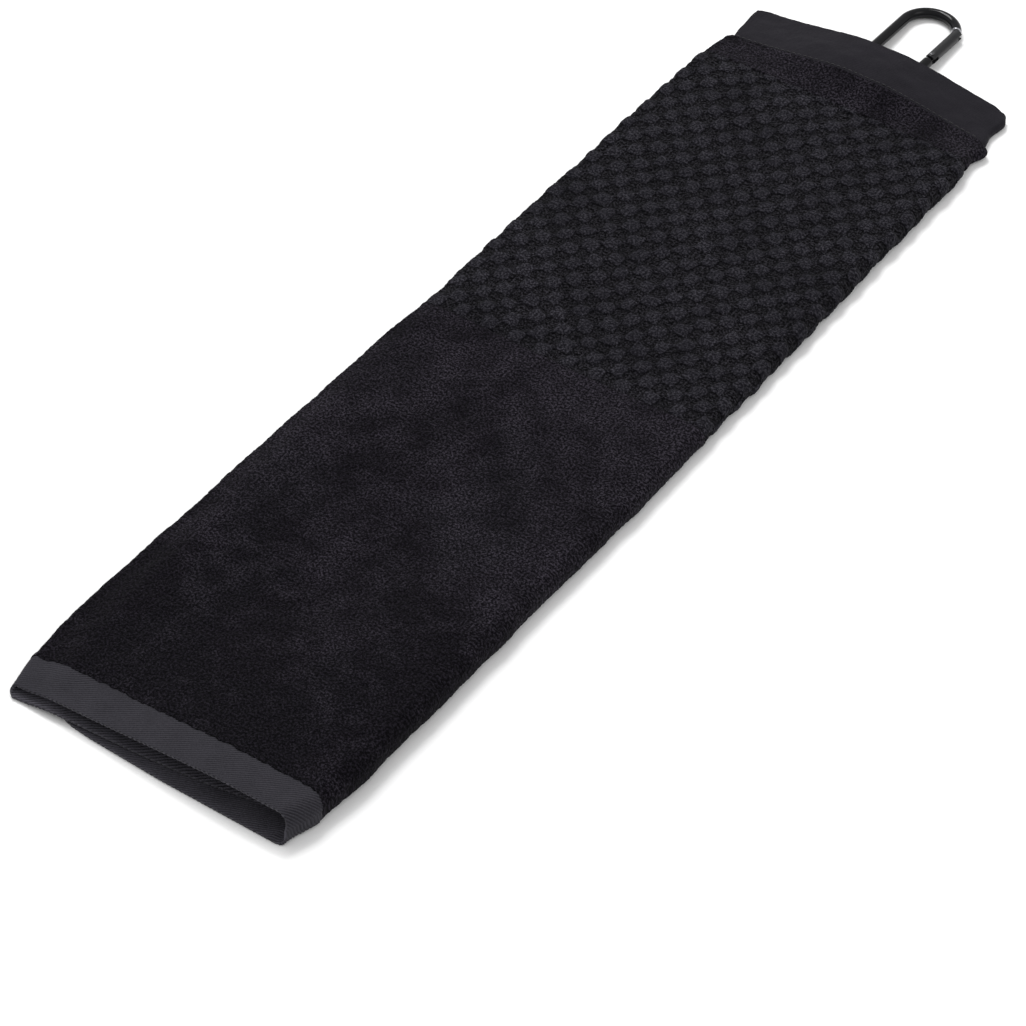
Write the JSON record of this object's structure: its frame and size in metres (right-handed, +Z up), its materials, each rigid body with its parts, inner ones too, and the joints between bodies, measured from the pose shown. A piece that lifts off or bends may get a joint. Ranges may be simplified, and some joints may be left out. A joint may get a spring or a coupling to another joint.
{
  "type": "golf towel",
  "caption": "Black golf towel folded in three, with a sewn top band and a snap carabiner that clips it to a bag.",
  "frame": {"origin": "middle of the footprint, on the surface that the towel lies on", "axes": "+X across the folded towel, +Y along it towards the carabiner, +Z up out of its face"},
  "size_m": [0.146, 0.5835, 0.0157],
  "materials": {
    "terry": "black cotton terry: sheared velour and raised check on the face, loops on the back",
    "hem_twill": "dark charcoal flat-woven cotton twill",
    "webbing": "black woven polyester tape",
    "thread": "black sewing thread",
    "black_anodised": "gloss black anodised",
    "steel": "blackened steel"
  },
  "bodies": {
    "root": {"outer_flap": "terry", "outer_flap_hem": "hem_twill", "right_fold": "terry", "right_fold_hem": "hem_twill", "centre_panel_upper": "terry", "inner_flap_upper": "terry", "left_fold_upper": "terry", "centre_hem_right": "hem_twill", "inner_flap_hem_right": "hem_twill", "top_band_outer": "hem_twill", "top_band_inner": "hem_twill", "top_band_centre": "hem_twill", "top_band_left_fold": "hem_twill", "top_band_right_fold": "hem_twill", "hanging_loop": "webbing", "loop_bar_tack": "thread", "top_seam_thread": "thread"},
    "free_corner": {"centre_panel_corner": "terry", "inner_flap_corner": "terry", "left_fold_corner": "terry", "centre_hem_corner": "hem_twill", "inner_flap_hem_corner": "hem_twill", "left_fold_hem_corner": "hem_twill"},
    "carabiner": {"carabiner_body": "black_anodised", "gate_rivet": "steel"},
    "gate": {"carabiner_gate": "black_anodised", "gate_latch_pin": "steel", "gate_plunger": "steel", "gate_spring": "steel"}
  },
  "joints": [
    {"name": "corner_turn_back", "type": "hinge", "parent": "root", "child": "free_corner", "pos_m": [-0.01725, -0.03975, 0.0112], "axis": [-0.216, 0.9764, 0], "range_deg": [0, 137]},
    {"name": "carabiner_swing", "type": "hinge", "parent": "root", "child": "carabiner", "pos_m": [0.006, 0.23245, 0.0053], "axis": [1, 0, 0], "range_deg": [0, 15]},
    {"name": "gate_open", "type": "hinge", "parent": "carabiner", "child": "gate", "pos_m": [0.0189, 0.25782, 0.00407], "axis": [0, 0.0484, 0.9988], "range_deg": [0, 27], "stiffness_Nm_per_rad": 0.004, "springref_deg": -20.05}
  ]
}
